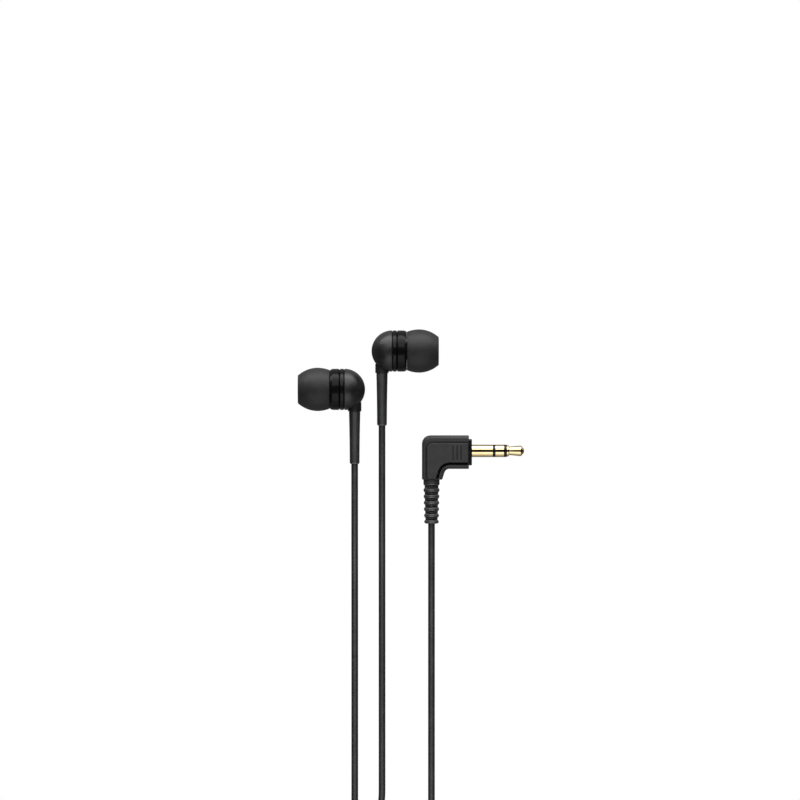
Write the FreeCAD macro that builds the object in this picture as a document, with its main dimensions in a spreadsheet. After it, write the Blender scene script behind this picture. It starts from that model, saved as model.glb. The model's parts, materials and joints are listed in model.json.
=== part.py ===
# Wired earphones: two in-ear earpieces on thin round cords that join at a splitter and end in
# a right-angle 3.5 mm stereo plug. They lie flat, and +Z is up from the surface they lie on.
# +X and +Y run across it, and the origin is below the middle of the two earpieces.
import FreeCAD, Part
import math
import os
import re

import Sketcher

Vector = FreeCAD.Vector
doc = FreeCAD.newDocument("Earphones")

# Driving dimensions, in millimetres. On an earpiece, "at" sizes are distances along the nozzle
# axis, counted from the centre of the domed shell, and positive towards the ear tip.
SIZES = {
    # where the earpieces lie
    "dome_centre_x": 6.73, "left_axis_y": 2.2, "right_axis_y": 13.0, "axis_height": 6.1,
    # rear shell and its cord boss
    "dome_radius": 5.83, "shell_wall": 0.85, "rear_rim_at": 0.13, "tongue_radius": 5.5,
    "tongue_end_at": 0.9, "boss_radius": 1.9, "boss_bore": 1.25, "boss_end": 6.2, "stem_at": 2.88,
    # front shell, its nozzle and the trim ring
    "band_radius": 5.8, "seam_front_at": 0.24, "band_end_at": 1.25, "seat_radius": 5.3,
    "ring_start_at": 1.45, "ring_bevel_at": 3.2, "ring_end_at": 4.05, "ring_front_radius": 5.4,
    "face_at": 4.1, "front_wall": 0.8, "front_cavity": 4.7, "nozzle_radius": 2.55,
    "nozzle_bore": 2.05, "nozzle_end_at": 9.6, "barb_radius": 2.7, "barb_at": 8.2,
    "barb_length": 0.6, "nozzle_lip": 2.35, "fit": 0.02,
    # ear tip
    "tip_bore": 2.75, "tip_core": 3.4, "tip_back_at": 4.25, "tip_core_at": 4.7,
    "tip_back_radius": 5.45, "tip_radius": 6.1, "tip_widest_at": 7.55, "tip_corner_at": 12.75,
    "tip_corner_radius": 4.2, "tip_front_at": 13.1, "tip_flat_radius": 3.6, "tip_opening": 2.1,
    "tip_wall": 0.6, "tip_back_curve": 9.3, "tip_front_curve": 8.2, "tip_edge_curve": 0.55,
    "tip_step_at": 9.8, "tip_hollow_at": 10.9,
    # driver
    "driver_radius": 4.6, "driver_rim": 4.3, "driver_front_at": 2.3, "driver_floor_at": 0.9,
    "driver_floor": 0.4, "hub_radius": 3.1, "hub_back_at": 1.1, "yoke_radius": 2.7,
    "yoke_bore": 2.25, "yoke_back_at": 1.3, "yoke_floor": 0.5, "gap_top_at": 0.55,
    "magnet_radius": 1.65, "plate_radius": 1.75, "plate_thick": 0.4, "voice_inner": 1.85,
    "voice_outer": 2.1, "voice_back_at": 0.35, "cone_at": 1.25, "cone_edge": 4.0,
    "cone_thick": 0.08, "cone_dome": 0.35, "cone_dome_curve": 6.475, "cone_roll_curve": 1.654,
    "clamp_inner": 4.1, "clamp_height": 0.6, "cover_thick": 0.25, "cover_hole": 0.35,
    "cover_pitch": 2.4, "mesh_at": 9.2, "mesh_thick": 0.15, "damper_at": 6.5, "damper_thick": 1.2,
    "cover_hole_count": 6, "board_at": 1.32, "board_thick": 0.4, "board_wide": 5.0,
    "board_deep": 2.0, "anchor_radius": 1.4, "anchor_start": 1.1, "anchor_length": 1.0,
    "front_step": 0.1,
    # the fine wires inside: their thickness, and in an earpiece how far apart they run, where
    # they leave the cord's core and where they turn to the board
    "wire_diameter": 0.3, "wire_apart": 1.0, "wire_start": -1.0, "wire_turn": 0.7,
    # boot
    "boot_spigot_start": 4.6, "boot_radius": 1.6, "boot_end_radius": 1.37, "boot_end": 21.3,
    "boot_bevel": 0.3, "boot_curve": 600.0,
    # cords and coils
    "cord_diameter": 1.9, "cord_hole": 0.98, "cord_pitch": 1.95, "coil_low": 0.55,
    "branch_coil_x": 0.2, "branch_coil_y": -146.0, "branch_coil_mid": 11.375,
    "branch_coil_half": 1.93, "branch_coil_tall": 4.45, "main_coil_x": 29.55,
    "main_coil_y": -135.0, "main_coil_mid": 9.8, "main_coil_half": 2.9, "main_coil_tall": 7.75,
    "coil_bevel": 0.6, "tie_thick": 0.5, "tie_gap": 0.25, "tie_wide": 3.0, "tie_tail": 5.0,
    # splitter
    "splitter_x": -11.175, "splitter_top": -169.0, "splitter_long": 19.0, "splitter_wide": 5.6,
    "splitter_neck": 3.2, "splitter_tall": 3.8, "splitter_bevel": 0.7, "splitter_hole_deep": 2.0,
    "room_wide": 2.8, "room_tall": 2.0, "joint_radius": 0.35, "joint_apart": 1.2,
    "joint_start": -12.0, "joint_long": 6.0,
    # plug
    "plug_x": 17.8, "plug_y": -15.13, "plug_height": 3.5, "plug_body_thick": 5.8,
    "plug_panel": 0.6, "panel_inset": 1.4, "panel_top_inset": 2.2, "panel_draft": 35.0,
    "panel_run_out": 0.42,
    "plug_left": -2.69, "plug_top": 4.38,
    "plug_right": 10.52, "plug_underside": -5.07, "plug_arm_end": -8.11, "plug_arm_right": 2.7,
    "plug_knee_x": 4.0, "plug_knee_y": -5.75, "plug_throat_x": 5.2, "plug_throat": 1.3,
    "plug_corner": 2.4, "plug_edge": 0.3, "grip_first": 6.2, "grip_pitch": 1.15,
    "grip_wide": 0.35, "grip_top": 1.33, "grip_low": -2.67, "grip_deep": 0.35,
    "collar_right": 11.37, "collar_top": 3.19, "collar_low": -4.08, "collar_thick": 5.6,
    "core_left": -1.6, "core_top": 2.6, "core_low": -3.4, "core_thick": 4.4,
    "hollow_left": -1.0, "hollow_top": 1.6, "hollow_tall": 2.6, "tab_height": 1.0,
    "tab_thick": 0.25, "tab_left": 0.4, "tab_right": 4.3, "tab_low": -2.6, "tab_top": -1.7,
    # jack, counted from the middle of the bend of the plug
    "jack_radius": 1.75, "sleeve_end": 17.3, "first_ring_end": 18.0, "ring_end": 20.44,
    "second_ring_end": 21.2, "shoulder_end": 21.75, "shoulder_radius": 1.58,
    "neck_start": 21.85, "neck_end": 22.05, "neck_radius": 1.2, "head_radius": 1.5,
    "head_widest": 25.2, "point_start": 25.93, "jack_end": 26.05, "point_radius": 0.55,
    "point_end_radius": 0.25, "rod_radius": 0.45, "ring_tube": 0.8, "ring_bore": 0.65,
    "sleeve_bore": 1.15, "root_radius": 1.5, "jack_back": 4.4, "sleeve_insulator_back": 3.8,
    "ring_back": 3.2, "ring_insulator_back": 2.6, "rod_back": 2.2,
    # plug strain relief, counted down its own axis from the jack's axis
    "relief_start": 8.11, "relief_collar_end": 9.62, "relief_collar": 2.275, "relief_first": 10.5,
    "relief_pitch": 1.79, "rib_long": 1.1, "relief_end": 20.53, "rib_first_radius": 2.25,
    "rib_last_radius": 2.0, "groove_first_radius": 1.95, "groove_last_radius": 1.65,
    "spine_wide": 1.24, "spigot_start": 6.4, "spigot_radius": 1.5,
}
RIBS = 6
GRIPS = 3
SIDES = {"left": -1, "right": 1}


def make_sheet():
    sheet = doc.addObject("Spreadsheet::Sheet", "Sizes")
    for row, (alias, value) in enumerate(SIZES.items(), start=1):
        sheet.set(f"A{row}", alias)
        sheet.set(f"B{row}", str(value))
        sheet.setAlias(f"B{row}", alias)
    doc.recompute()
    return sheet


sheet = make_sheet()
pieces = {}


def bound(expression):
    """The expression with each size's name turned into its cell of the sheet."""
    return re.sub(r"[a-z_]+", lambda word: cell_path(word.group()), expression)


def cell_path(word):
    return "Sizes." + word if word in SIZES else word


def value(expression):
    return float(sheet.evalExpression(expression))


# ---- sketches and features ------------------------------------------------------------------

def new_body(label, x="0", y="0", z="0", rotation=FreeCAD.Rotation()):
    """A body named after its piece, with its place bound to the sheet."""
    body = doc.addObject("PartDesign::Body", label)
    body.Label = label
    body.Placement = FreeCAD.Placement(Vector(0, 0, 0), rotation)
    for axis, expression in (("x", x), ("y", y), ("z", z)):
        body.setExpression("Placement.Base." + axis, bound(expression))
    pieces[label] = body
    return body


def new_sketch(body, plane, offset="0"):
    """A sketch on one of the body's own origin planes, or above it by an offset."""
    sketch = body.newObject("Sketcher::SketchObject", body.Name + "_sketch")
    support = [f for f in body.Origin.OriginFeatures if f.Role == plane + "_Plane"][0]
    sketch.AttachmentSupport = (support, [""])
    sketch.MapMode = "FlatFace"
    sketch.setExpression("AttachmentOffset.Base.z", bound(offset))
    return sketch


def constrain(sketch, kind, name, expression, *geometry):
    index = sketch.addConstraint(Sketcher.Constraint(kind, *geometry, value(expression)))
    sketch.renameConstraint(index, name)
    sketch.setExpression("Constraints." + name, bound(expression))


def bowed(start, end, radius, inward):
    """An arc from start to end that bows to the right of its travel, or to the left."""
    chord = end - start
    sag = radius - math.sqrt(radius ** 2 - (chord.Length / 2) ** 2)
    aside = Vector(chord.y, -chord.x, 0).normalize() * (-sag if inward else sag)
    return Part.ArcOfCircle(start, (start + end) / 2 + aside, end)


def outline(sketch, corners):
    """A closed outline, drawn counter-clockwise. A corner is x, y, and where the side after it
    is an arc, its radius and True if the arc bows into the outline."""
    points = [Vector(value(corner[0]), value(corner[1]), 0) for corner in corners]
    first = sketch.GeometryCount
    count = len(corners)
    for i, corner in enumerate(corners):
        start, end = points[i], points[(i + 1) % count]
        if len(corner) > 2:
            side = bowed(start, end, value(corner[2]), corner[3])
        else:
            side = Part.LineSegment(start, end)
        sketch.addGeometry(side)

    def end_at(index, point):
        return 1 if (sketch.getPoint(first + index, 1) - point).Length < 1e-6 else 2

    for i, corner in enumerate(corners):
        before = (i - 1) % count
        here, there = end_at(i, points[i]), end_at(before, points[i])
        sketch.addConstraint(Sketcher.Constraint("Coincident", first + before, there,
                                                 first + i, here))
        constrain(sketch, "DistanceX", f"x{first + i}", corner[0], -1, 1, first + i, here)
        constrain(sketch, "DistanceY", f"y{first + i}", corner[1], -1, 1, first + i, here)
        if len(corner) > 2:
            constrain(sketch, "Radius", f"r{first + i}", corner[2], first + i)
    return sketch


def circle(sketch, x, y, radius):
    centre = Vector(value(x), value(y), 0)
    i = sketch.addGeometry(Part.Circle(centre, Vector(0, 0, 1), value(radius)))
    constrain(sketch, "DistanceX", f"x{i}", x, -1, 1, i, 3)
    constrain(sketch, "DistanceY", f"y{i}", y, -1, 1, i, 3)
    constrain(sketch, "Radius", f"r{i}", radius, i)
    return sketch


def box_outline(left, low, right, top):
    return [(left, low), (right, low), (right, top), (left, top)]


def spin(body, kind, sketch):
    """A Revolution or a Groove about the sketch's upright axis, a full turn."""
    feature = body.newObject("PartDesign::" + kind, body.Name + "_" + kind.lower())
    feature.Profile = sketch
    feature.ReferenceAxis = (sketch, ["V_Axis"])
    feature.Angle = 360
    return feature


def raise_pad(body, sketch, length, midplane=False, taper="0"):
    feature = body.newObject("PartDesign::Pad", body.Name + "_pad")
    feature.Profile = sketch
    feature.setExpression("Length", bound(length))
    feature.Midplane = midplane
    feature.TaperAngle = value(taper)
    return feature


def cut_pocket(body, sketch, length, reverse=False, midplane=False):
    """A pocket. It has to take some volume away, so the volume is compared."""
    doc.recompute()
    before = body.Shape.Volume
    feature = body.newObject("PartDesign::Pocket", body.Name + "_pocket")
    feature.Profile = sketch
    feature.setExpression("Length", bound(length))
    feature.Reversed = reverse
    feature.Midplane = midplane
    doc.recompute()
    if body.Shape.Volume > before - 1e-4:
        raise RuntimeError(f"a pocket in {body.Label} cuts nothing")
    return feature


def ease(body, kind, size, keep):
    """A fillet or chamfer on the edges that keep() picks."""
    doc.recompute()
    base = body.Tip
    names = [f"Edge{i}" for i, edge in enumerate(base.Shape.Edges, start=1) if keep(edge)]
    feature = body.newObject("PartDesign::" + kind, body.Name + "_" + kind.lower())
    feature.Base = (base, names)
    feature.setExpression("Radius" if kind == "Fillet" else "Size", bound(size))
    return feature


def turned(label, corners, *place):
    """A piece turned about its body's Z axis: each corner is a radius and a distance along."""
    body = new_body(label, *place)
    spin(body, "Revolution", outline(new_sketch(body, "XZ"), corners))
    return body


def cylinder_ring(label, inner, outer, low, high, *place):
    return turned(label, box_outline(inner, low, outer, high), *place)


# ---- earpieces ------------------------------------------------------------------------------

def earpiece_place(side):
    """At the dome's centre, with local Z along the nozzle and local -Y down the cord."""
    turn = FreeCAD.Rotation(Vector(0, 1, 0), 90 * SIDES[side])
    return f"{SIDES[side]} * dome_centre_x", f"{side}_axis_y", "axis_height", turn


def stem_place(side):
    """On the cord's axis, with local Z along it, away from the earpiece."""
    turn = FreeCAD.Rotation(Vector(1, 0, 0), 90)
    x = f"{SIDES[side]} * (dome_centre_x - stem_at)"
    return x, f"{side}_axis_y", "axis_height", turn


def rear_shell(side):
    body = new_body(f"{side}_rear_shell", *earpiece_place(side))
    spin(body, "Revolution", outline(new_sketch(body, "XZ"), [
        ("0", "-dome_radius", "dome_radius", False),
        ("sqrt(dome_radius ^ 2 - rear_rim_at ^ 2)", "-rear_rim_at"),
        ("tongue_radius", "-rear_rim_at"),
        ("tongue_radius", "tongue_end_at"),
        ("0", "tongue_end_at")]))
    raise_pad(body, circle(new_sketch(body, "XZ"), "0", "-stem_at", "boss_radius"), "boss_end")
    spin(body, "Groove", outline(new_sketch(body, "XZ"), [
        ("0", "shell_wall - dome_radius", "dome_radius - shell_wall", False),
        ("dome_radius - shell_wall", "0"),
        ("dome_radius - shell_wall", "tongue_end_at"),
        ("0", "tongue_end_at")]))
    bore = circle(new_sketch(body, "XZ"), "0", "-stem_at", "boss_bore")
    cut_pocket(body, bore, "boss_end", reverse=True)


def front_shell(side):
    turned(f"{side}_front_shell", [
        ("tongue_radius + fit", "seam_front_at"),
        ("band_radius", "seam_front_at"),
        ("band_radius", "band_end_at"),
        ("seat_radius", "band_end_at"),
        ("seat_radius", "face_at"),
        ("nozzle_radius", "face_at"),
        ("nozzle_radius", "barb_at"),
        ("barb_radius", "barb_at"),
        ("barb_radius", "barb_at + barb_length"),
        ("nozzle_lip", "nozzle_end_at"),
        ("nozzle_bore", "nozzle_end_at"),
        ("nozzle_bore", "face_at - front_wall"),
        ("front_cavity", "face_at - front_wall"),
        ("front_cavity", "tongue_end_at + front_step"),
        ("tongue_radius + fit", "tongue_end_at + front_step")], *earpiece_place(side))


def trim_ring(side):
    turned(f"{side}_trim_ring", [
        ("seat_radius + fit", "ring_start_at"),
        ("band_radius", "ring_start_at"),
        ("band_radius", "ring_bevel_at"),
        ("ring_front_radius", "ring_end_at"),
        ("seat_radius + fit", "ring_end_at")], *earpiece_place(side))


def ear_tip(side):
    """A soft dome on a sleeve: the sleeve grips the nozzle and the dome's skirt hangs free."""
    turned(f"{side}_ear_tip", [
        ("tip_bore", "tip_core_at"),
        ("tip_core", "tip_core_at"),
        ("tip_core", "tip_hollow_at", "tip_front_curve - tip_wall", True),
        ("tip_radius - tip_wall", "tip_widest_at", "tip_back_curve - tip_wall", True),
        ("tip_back_radius - tip_wall", "tip_back_at"),
        ("tip_back_radius", "tip_back_at", "tip_back_curve", False),
        ("tip_radius", "tip_widest_at", "tip_front_curve", False),
        ("tip_corner_radius", "tip_corner_at", "tip_edge_curve", False),
        ("tip_flat_radius", "tip_front_at"),
        ("tip_opening", "tip_front_at"),
        ("tip_opening", "tip_step_at"),
        ("tip_bore", "tip_step_at")], *earpiece_place(side))


def driver_frame(side):
    turned(f"{side}_driver_frame", [
        ("yoke_radius + fit", "-hub_back_at"),
        ("hub_radius", "-hub_back_at"),
        ("hub_radius", "driver_floor_at - driver_floor"),
        ("driver_radius", "driver_floor_at - driver_floor"),
        ("driver_radius", "driver_front_at"),
        ("driver_rim", "driver_front_at"),
        ("driver_rim", "driver_floor_at"),
        ("yoke_radius + fit", "driver_floor_at")], *earpiece_place(side))


def driver_cover(side):
    """A pressed disc with a ring of sound holes and one in the middle."""
    body = new_body(f"{side}_driver_cover", *earpiece_place(side))
    spin(body, "Revolution", outline(new_sketch(body, "XZ"), box_outline(
        "0", "driver_front_at - cover_thick", "driver_rim - fit", "driver_front_at")))
    holes = new_sketch(body, "XY", "driver_front_at")
    circle(holes, "0", "0", "cover_hole")
    count = SIZES["cover_hole_count"]
    for i in range(count):
        turn = f"({360 / count * i} deg)"
        around = f"cover_pitch * cos{turn}", f"cover_pitch * sin{turn}"
        circle(holes, *around, "cover_hole")
    cut_pocket(body, holes, "2 * cover_thick")


def diaphragm(side):
    """A film with a domed middle and a rolled surround."""
    top = "cone_at + cone_thick"
    turned(f"{side}_diaphragm", [
        ("0", "cone_at + cone_dome", "cone_dome_curve", True),
        ("voice_outer", "cone_at", "cone_roll_curve", True),
        ("cone_edge", "cone_at"),
        ("cone_edge", top, "cone_roll_curve", False),
        ("voice_outer", top, "cone_dome_curve", False),
        ("0", top + " + cone_dome")], *earpiece_place(side))


def driver(side):
    """The magnet system, the moving parts and the frame that holds them."""
    place = earpiece_place(side)
    driver_frame(side)
    driver_cover(side)
    turned(f"{side}_yoke", [
        ("0", "-yoke_back_at"),
        ("yoke_radius", "-yoke_back_at"),
        ("yoke_radius", "gap_top_at"),
        ("yoke_bore", "gap_top_at"),
        ("yoke_bore", "yoke_floor - yoke_back_at"),
        ("0", "yoke_floor - yoke_back_at")], *place)
    cylinder_ring(f"{side}_magnet", "0", "magnet_radius", "yoke_floor - yoke_back_at",
                  "gap_top_at - plate_thick", *place)
    cylinder_ring(f"{side}_top_plate", "0", "plate_radius", "gap_top_at - plate_thick",
                  "gap_top_at", *place)
    cylinder_ring(f"{side}_voice_coil", "voice_inner", "voice_outer", "-voice_back_at",
                  "cone_at", *place)
    diaphragm(side)
    cylinder_ring(f"{side}_diaphragm_ring", "clamp_inner", "driver_rim - fit",
                  "driver_floor_at", "driver_floor_at + clamp_height", *place)


def terminal_board(side):
    body = new_body(f"{side}_terminal_board", *earpiece_place(side))
    sketch = outline(new_sketch(body, "XY", "-board_at - board_thick"), box_outline(
        "-board_wide / 2", "-board_deep / 2", "board_wide / 2", "board_deep / 2"))
    raise_pad(body, sketch, "board_thick")


def boot(side):
    """A soft tapered sleeve with a hollow curve to its taper and a bevelled end."""
    turned(f"{side}_boot", [
        ("cord_hole", "boot_spigot_start"),
        ("boss_bore - fit", "boot_spigot_start"),
        ("boss_bore - fit", "boss_end"),
        ("boot_radius", "boss_end", "boot_curve", True),
        ("boot_end_radius", "boot_end - boot_bevel"),
        ("boot_end_radius - boot_bevel", "boot_end"),
        ("cord_hole", "boot_end")], *stem_place(side))


def lead_wires(side):
    """Two fine wires from the end of the cord to the terminal board."""
    reach, rise = value("stem_at"), value("board_at + board_thick")
    start, turn = value("wire_start"), value("wire_turn")
    wires = []
    for share in (-0.5, 0.5):
        across = share * value("wire_apart")
        path = [Vector(across, start, -reach), Vector(across, turn, -reach),
                Vector(across, turn, -rise)]
        wires.append(tube_shape(path, value("wire_diameter")))
    add_shape(f"{side}_lead_wires", Part.makeCompound(wires), *earpiece_place(side))


def earpiece(side):
    place = earpiece_place(side)
    rear_shell(side)
    front_shell(side)
    trim_ring(side)
    ear_tip(side)
    cylinder_ring(f"{side}_nozzle_mesh", "0", "nozzle_bore - fit", "mesh_at",
                  "mesh_at + mesh_thick", *place)
    cylinder_ring(f"{side}_nozzle_damper", "0", "nozzle_bore - fit", "damper_at",
                  "damper_at + damper_thick", *place)
    driver(side)
    terminal_board(side)
    lead_wires(side)
    cylinder_ring(f"{side}_cord_anchor", "cord_hole", "anchor_radius", "anchor_start",
                  "anchor_start + anchor_length", *stem_place(side))
    boot(side)


# ---- cords ----------------------------------------------------------------------------------

# The routes of the cords, by hand, from the piece that holds each one. Each cord comes straight
# out of its boot or strain relief, sinks to the surface and runs on to its coil.
LEFT_ROUTE = [(-3.85, 1.2, 6.1), (-3.85, -30, 6.1), (-3.85, -61, 0.95), (-3.85, -121, 0.95),
              (-12.15, -134, 1.1), (-12.15, -146, 1.5)]
RIGHT_ROUTE = [(3.85, 12, 6.1), (3.85, -21, 6.1), (3.85, -55, 0.95), (3.85, -121, 0.95),
               (-10.2, -135, 1.1), (-10.2, -146, 1.5)]
LEFT_TAIL = [(-12.15, -146, 5.4), (-12.15, -154, 5.35), (-12.15, -163, 1.9), (-12.15, -171, 1.9)]
RIGHT_TAIL = [(-10.2, -146, 5.4), (-10.2, -154, 5.35), (-10.2, -163, 1.9), (-10.2, -171, 1.9)]
PLUG_ROUTE = [(17.8, -22.5, 3.5), (17.8, -46, 3.5), (17.8, -73, 0.95), (17.8, -124, 0.95),
              (17.8, -135, 1.5)]
TRUNK_TAIL = [(15.85, -135, 5.5), (15.85, -147, 3.4), (16.2, -162, 0.95), (16.9, -180, 0.95),
              (16.9, -198, 0.95), (8.7, -206.2, 0.95), (-3, -206.2, 1.3), (-11.2, -198, 1.9),
              (-11.2, -186, 1.9)]


def rounded_path(points):
    """Straight runs joined by tangent arcs, each arc as large as its two runs allow."""
    edges = []
    radii = []
    at = points[0]
    for before, corner, after in zip(points, points[1:], points[2:]):
        back, ahead = before - corner, after - corner
        half_turn = (math.pi - back.getAngle(ahead)) / 2
        tangent = 0.45 * min(back.Length, ahead.Length)
        radius = tangent / math.tan(half_turn)
        radii.append(radius)
        start = corner + Vector(back).normalize() * tangent
        end = corner + Vector(ahead).normalize() * tangent
        inside = (Vector(back).normalize() + Vector(ahead).normalize()).normalize()
        middle = corner + inside * (radius / math.cos(half_turn) - radius)
        edges.append(Part.LineSegment(at, start).toShape())
        edges.append(Part.Arc(start, middle, end).toShape())
        at = end
    edges.append(Part.LineSegment(at, points[-1]).toShape())
    return Part.Wire(edges), radii


def tube_shape(points, diameter):
    path, _ = rounded_path(points)
    return sweep_round(path, points[0], points[1] - points[0], diameter)


def sweep_round(path, start, direction, diameter):
    profile = Part.Wire(Part.Circle(start, direction, diameter / 2).toShape())
    solid = path.makePipeShell([profile], True, False)
    expected = math.pi * diameter ** 2 / 4 * path.Length
    if abs(solid.Volume - expected) > 0.01 * expected:
        raise RuntimeError(f"a tube holds {solid.Volume:.1f} instead of {expected:.1f} mm3")
    return solid


def add_shape(label, shape, x="0", y="0", z="0", rotation=FreeCAD.Rotation()):
    piece = doc.addObject("Part::Feature", label)
    piece.Label = label
    piece.Shape = shape
    piece.Placement = FreeCAD.Placement(Vector(value(x), value(y), value(z)), rotation)
    pieces[label] = piece


def cord(label, route):
    points = [Vector(*point) for point in route]
    path, radii = rounded_path(points)
    diameter = value("cord_diameter")
    add_shape(label, sweep_round(path, points[0], points[1] - points[0], diameter))
    print(label, f"length {path.Length:.1f}, arc radii", [round(radius, 1) for radius in radii])


def coil(label, name):
    """The outer shape of a tied coil: a ring with bevelled edges, held off the surface."""
    inner, outer = f"{name}_mid - {name}_half", f"{name}_mid + {name}_half"
    high = f"coil_low + {name}_tall"
    turned(label, [
        (inner + " + coil_bevel", "coil_low"),
        (outer + " - coil_bevel", "coil_low"),
        (outer, "coil_low + coil_bevel"),
        (outer, high + " - coil_bevel"),
        (outer + " - coil_bevel", high),
        (inner + " + coil_bevel", high),
        (inner, high + " - coil_bevel"),
        (inner, "coil_low + coil_bevel")], f"{name}_x", f"{name}_y")


def tie(label, name):
    """A flat band round a coil's turns, on the side away from where the cord comes in."""
    body = new_body(label, f"{name}_x + {name}_mid", f"{name}_y")
    half = f"({name}_half + tie_gap + tie_thick)"
    inside = f"({name}_half + tie_gap)"
    top = f"coil_low + {name}_tall + fit"
    sketch = outline(new_sketch(body, "XZ"), box_outline(
        "-" + half, "coil_low - tie_thick - fit", half, top + " + tie_thick"))
    outline(sketch, box_outline("-" + inside, "coil_low - fit", inside, top))
    raise_pad(body, sketch, "tie_wide", midplane=True)
    tail = outline(new_sketch(body, "XZ"), box_outline(
        "-" + half, top, "-" + half + " + tie_tail", top + " + tie_thick"))
    raise_pad(body, tail, "tie_wide / 2", midplane=True)


def splitter():
    """Where the two branch cords join the trunk: a flat moulding that narrows to the trunk."""
    axis = "splitter_tall / 2"
    body = new_body("splitter_body", "splitter_x", "splitter_top")
    raise_pad(body, outline(new_sketch(body, "XY"), [
        ("splitter_neck / -2", "-splitter_long"),
        ("splitter_neck / 2", "-splitter_long"),
        ("splitter_wide / 2", "-splitter_long / 2"),
        ("splitter_wide / 2", "0"),
        ("splitter_wide / -2", "0"),
        ("splitter_wide / -2", "-splitter_long / 2")]), "splitter_tall")
    ease(body, "Fillet", "splitter_bevel", lambda edge: edge.Length > 5)
    holes = circle(new_sketch(body, "XZ"), "-cord_pitch / 2", axis, "cord_hole")
    circle(holes, "cord_pitch / 2", axis, "cord_hole")
    cut_pocket(body, holes, "splitter_hole_deep", reverse=True)
    trunk = circle(new_sketch(body, "XZ", "splitter_long"), "0", axis, "cord_hole")
    cut_pocket(body, trunk, "splitter_hole_deep")
    room = outline(new_sketch(body, "XY", axis), splitter_room("0"))
    cut_pocket(body, room, "room_tall", midplane=True)
    splitter_inside("splitter_x", "splitter_top", axis)


def splitter_room(gap):
    """The space inside the splitter's outer moulding, less a gap all round."""
    return box_outline(f"-room_wide / 2 + {gap}", f"splitter_hole_deep + {gap} - splitter_long",
                       f"room_wide / 2 - {gap}", f"-splitter_hole_deep - {gap}")


def splitter_inside(*place):
    """The sleeved soldered joints, and the inner moulding that holds them in two channels."""
    core = new_body("splitter_core", *place)
    block = outline(new_sketch(core, "XY"), splitter_room("fit"))
    raise_pad(core, block, "room_tall - 2 * fit", midplane=True)
    channels = new_sketch(core, "XZ", "-joint_start - joint_long")
    start, along = value("joint_start"), Vector(0, value("joint_long"), 0)
    joints = []
    for share in (-0.5, 0.5):
        across = share * value("joint_apart")
        circle(channels, f"{share} * joint_apart", "0", "joint_radius + fit")
        joints.append(Part.makeCylinder(value("joint_radius"), along.Length,
                                        Vector(across, start, 0), along))
    cut_pocket(core, channels, "joint_long + fit", reverse=True)
    add_shape("splitter_joints", Part.makeCompound(joints), *place)


# ---- plug -----------------------------------------------------------------------------------

def plug_place(height="0"):
    """At the bend of the plug, where the jack's axis meets the cord's."""
    return "plug_x", "plug_y", height


def plug_outline(inset, top_inset, end_inset):
    """The plug's L, with a round outer corner and a hollow curve inside the bend."""
    right = f"plug_right - {end_inset}"
    arm_end = f"plug_arm_end + {end_inset}"
    return [
        (f"plug_left + {inset} + plug_edge", arm_end),
        (f"plug_arm_right - {inset} - plug_edge", arm_end),
        (f"plug_arm_right - {inset}", f"{arm_end} + plug_edge"),
        (f"plug_knee_x - {inset}", f"plug_knee_y + {inset} / 2", f"plug_throat + {inset}", True),
        (f"plug_throat_x - {inset} / 2", f"plug_underside + {inset}"),
        (right, f"plug_underside + {inset}"),
        (right, f"plug_top - {top_inset}"),
        (f"plug_left + {inset} + plug_corner", f"plug_top - {top_inset}", "plug_corner", False),
        (f"plug_left + {inset}", f"plug_top - {top_inset} - plug_corner"),
        (f"plug_left + {inset}", f"{arm_end} + plug_edge")]


def plug_body():
    """The soft outer moulding, with a raised panel on each face that runs out at both ends."""
    body = new_body("plug_body", *plug_place("plug_height"))
    raise_pad(body, outline(new_sketch(body, "XY"), plug_outline("0", "0", "0")),
              "plug_body_thick", midplane=True)
    for side in (1, -1):
        panel = new_sketch(body, "XY", f"{side} * (plug_body_thick / 2 + plug_panel)")
        outline(panel, plug_outline("panel_inset", "panel_top_inset", "panel_run_out"))
        pad = raise_pad(body, panel, "plug_panel", taper="-panel_draft")
        pad.Reversed = side > 0
    plug_grips(body)
    room = outline(new_sketch(body, "XY"), core_outline("0", "plug_right"))
    cut_pocket(body, room, "core_thick", midplane=True)
    spigot = circle(new_sketch(body, "XZ", "-plug_arm_end"), "0", "0", "spigot_radius")
    cut_pocket(body, spigot, "-plug_arm_end - spigot_start")
    throat = circle(new_sketch(body, "XZ", "-plug_arm_end"), "0", "0", "cord_hole")
    cut_pocket(body, throat, "-plug_arm_end + core_low")


def plug_grips(body):
    """Three short upright grooves in each raised panel."""
    face = "(plug_body_thick / 2 + plug_panel)"
    for side in (1, -1):
        grips = new_sketch(body, "XY", f"{side} * {face}")
        for i in range(GRIPS):
            left = f"grip_first + {i} * grip_pitch - grip_wide / 2"
            outline(grips, box_outline(left, "grip_low", left + " + grip_wide", "grip_top"))
        cut_pocket(body, grips, "grip_deep", reverse=side < 0)


def core_outline(gap, right):
    return box_outline(f"core_left + {gap}", f"core_low + {gap}", right, f"core_top - {gap}")


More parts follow.
